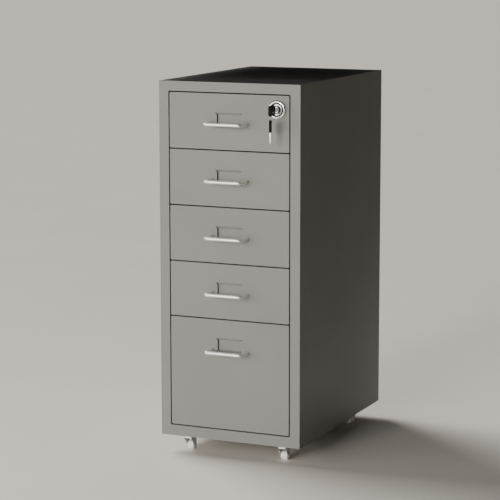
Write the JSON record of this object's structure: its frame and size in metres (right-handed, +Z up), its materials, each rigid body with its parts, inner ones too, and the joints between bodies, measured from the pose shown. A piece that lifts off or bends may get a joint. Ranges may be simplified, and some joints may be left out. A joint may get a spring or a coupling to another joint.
{
  "type": "drawer cabinet",
  "caption": "Narrow steel office cabinet on castors: shallow drawers over a deep one, wire bow handles, label pockets, and a cam lock with keys.",
  "frame": {"origin": "on the floor, under the middle of the whole object's box, handles and keys included", "axes": "+Z up; -Y the way the drawers open; +X to the right of someone who faces the drawers"},
  "size_m": [0.28, 0.458, 0.6975],
  "materials": {
    "painted_steel": "fine satin powder coat, warm grey",
    "nickel_wire": "satin nickel plate",
    "lock_chrome": "bright chrome plate",
    "zinc_plate": "bright zinc plate",
    "galvanised_steel": "galvanised sheet",
    "key_moulding": "fine moulded texture, black",
    "key_brass_nickel": "nickel plate",
    "castor_zinc": "bright zinc plate",
    "castor_nylon": "moulded nylon, off-white"
  },
  "bodies": {
    "cabinet": {"left_side_panel": "painted_steel", "right_side_panel": "painted_steel", "top_panel": "painted_steel", "bottom_panel": "painted_steel", "back_panel": "painted_steel", "back_panel_screws": "zinc_plate", "left_runners": "galvanised_steel", "right_runners": "galvanised_steel", "castor_nuts": "zinc_plate", "front_left_stem": "castor_zinc", "front_right_stem": "castor_zinc", "rear_left_stem": "castor_zinc", "rear_right_stem": "castor_zinc"},
    "drawer_1": {"drawer_1_front": "painted_steel", "drawer_1_tray": "painted_steel", "drawer_1_handle": "nickel_wire", "drawer_1_handle_screws": "zinc_plate", "lock_housing": "lock_chrome", "lock_ring_nut": "zinc_plate"},
    "drawer_2": {"drawer_2_front": "painted_steel", "drawer_2_tray": "painted_steel", "drawer_2_handle": "nickel_wire", "drawer_2_handle_screws": "zinc_plate"},
    "drawer_3": {"drawer_3_front": "painted_steel", "drawer_3_tray": "painted_steel", "drawer_3_handle": "nickel_wire", "drawer_3_handle_screws": "zinc_plate"},
    "drawer_4": {"drawer_4_front": "painted_steel", "drawer_4_tray": "painted_steel", "drawer_4_handle": "nickel_wire", "drawer_4_handle_screws": "zinc_plate"},
    "drawer_5": {"drawer_5_front": "painted_steel", "drawer_5_tray": "painted_steel", "drawer_5_handle": "nickel_wire", "drawer_5_handle_screws": "zinc_plate"},
    "lock_core": {"lock_plug": "lock_chrome", "lock_cam": "zinc_plate", "lock_cam_screw": "zinc_plate"},
    "key": {"key_head": "key_moulding", "key_blade": "key_brass_nickel"},
    "ring": {"key_ring": "key_brass_nickel"},
    "spare_key": {"spare_key_head": "key_moulding", "spare_key_blade": "key_brass_nickel"},
    "front_left_castor": {"front_left_fork": "castor_zinc", "front_left_axle": "castor_zinc"},
    "front_left_roller": {"front_left_wheel": "castor_nylon"},
    "front_right_castor": {"front_right_fork": "castor_zinc", "front_right_axle": "castor_zinc"},
    "front_right_roller": {"front_right_wheel": "castor_nylon"},
    "rear_left_castor": {"rear_left_fork": "castor_zinc", "rear_left_axle": "castor_zinc"},
    "rear_left_roller": {"rear_left_wheel": "castor_nylon"},
    "rear_right_castor": {"rear_right_fork": "castor_zinc", "rear_right_axle": "castor_zinc"},
    "rear_right_roller": {"rear_right_wheel": "castor_nylon"}
  },
  "joints": [
    {"name": "drawer_1_slide", "type": "slide", "parent": "cabinet", "child": "drawer_1", "axis": [0, -1, 0], "range_m": [0, 0.3]},
    {"name": "drawer_2_slide", "type": "slide", "parent": "cabinet", "child": "drawer_2", "axis": [0, -1, 0], "range_m": [0, 0.3]},
    {"name": "drawer_3_slide", "type": "slide", "parent": "cabinet", "child": "drawer_3", "axis": [0, -1, 0], "range_m": [0, 0.3]},
    {"name": "drawer_4_slide", "type": "slide", "parent": "cabinet", "child": "drawer_4", "axis": [0, -1, 0], "range_m": [0, 0.3]},
    {"name": "drawer_5_slide", "type": "slide", "parent": "cabinet", "child": "drawer_5", "axis": [0, -1, 0], "range_m": [0, 0.3]},
    {"name": "lock_turn", "type": "hinge", "parent": "drawer_1", "child": "lock_core", "pos_m": [0.0956, -0.18782, 0.6521], "axis": [0, 1, 0], "range_deg": [0, 180]},
    {"name": "key_pull", "type": "slide", "parent": "lock_core", "child": "key", "axis": [0, -1, 0], "range_m": [0, 0.02]},
    {"name": "ring_swing", "type": "hinge", "parent": "key", "child": "ring", "pos_m": [0.0956, -0.21932, 0.65119], "axis": [0.9781, 0.2079, 0], "range_deg": [-60, 12]},
    {"name": "spare_key_swing", "type": "hinge", "parent": "ring", "child": "spare_key", "pos_m": [0.0956, -0.21932, 0.63239], "axis": [0.9272, 0.3746, 0], "range_deg": [-45, 12]},
    {"name": "front_left_swivel", "type": "hinge", "parent": "cabinet", "child": "front_left_castor", "pos_m": [-0.096, -0.15882, 0.0335], "axis": [0, 0, 1], "continuous": true},
    {"name": "front_left_roll", "type": "hinge", "parent": "front_left_castor", "child": "front_left_roller", "pos_m": [-0.09696, -0.14786, 0.0085], "axis": [0.9962, 0.0872, 0], "continuous": true},
    {"name": "front_right_swivel", "type": "hinge", "parent": "cabinet", "child": "front_right_castor", "pos_m": [0.096, -0.15882, 0.0335], "axis": [0, 0, 1], "continuous": true},
    {"name": "front_right_roll", "type": "hinge", "parent": "front_right_castor", "child": "front_right_roller", "pos_m": [0.09504, -0.14786, 0.0085], "axis": [0.9962, 0.0872, 0], "continuous": true},
    {"name": "rear_left_swivel", "type": "hinge", "parent": "cabinet", "child": "rear_left_castor", "pos_m": [-0.096, 0.16718, 0.0335], "axis": [0, 0, 1], "continuous": true},
    {"name": "rear_left_roll", "type": "hinge", "parent": "rear_left_castor", "child": "rear_left_roller", "pos_m": [-0.08699, 0.16088, 0.0085], "axis": [-0.5736, -0.8192, 0], "continuous": true},
    {"name": "rear_right_swivel", "type": "hinge", "parent": "cabinet", "child": "rear_right_castor", "pos_m": [0.096, 0.16718, 0.0335], "axis": [0, 0, 1], "continuous": true},
    {"name": "rear_right_roll", "type": "hinge", "parent": "rear_right_castor", "child": "rear_right_roller", "pos_m": [0.10501, 0.16088, 0.0085], "axis": [-0.5736, -0.8192, 0], "continuous": true}
  ]
}
